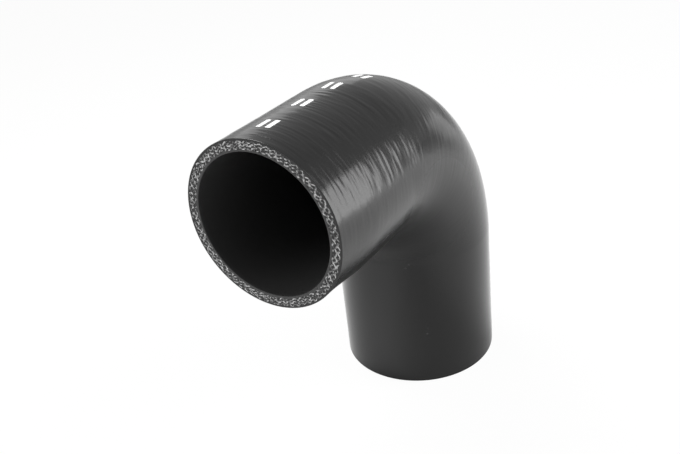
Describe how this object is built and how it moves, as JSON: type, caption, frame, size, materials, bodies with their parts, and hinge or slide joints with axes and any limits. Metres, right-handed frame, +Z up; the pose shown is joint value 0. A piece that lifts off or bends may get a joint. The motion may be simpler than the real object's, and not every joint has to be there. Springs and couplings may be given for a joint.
{
  "type": "silicone reducer elbow hose",
  "caption": "Black fabric-reinforced silicone hose with a right-angle bend, joining a larger pipe to a slightly smaller one in a coolant, intake or charge-air line.",
  "frame": {"origin": "under the middle of the hose's length and width, on the surface that its lower end stands on", "axes": "+Z up along the lower leg, +X along the upper leg towards its open end, and Y across the hose, which is symmetric about Y = 0"},
  "size_m": [0.1448, 0.0734, 0.1531],
  "materials": {
    "silicone": "glossy black skin, matt bore"
  },
  "bodies": {
    "root": {"elbow_hose": "silicone"}
  },
  "joints": []
}
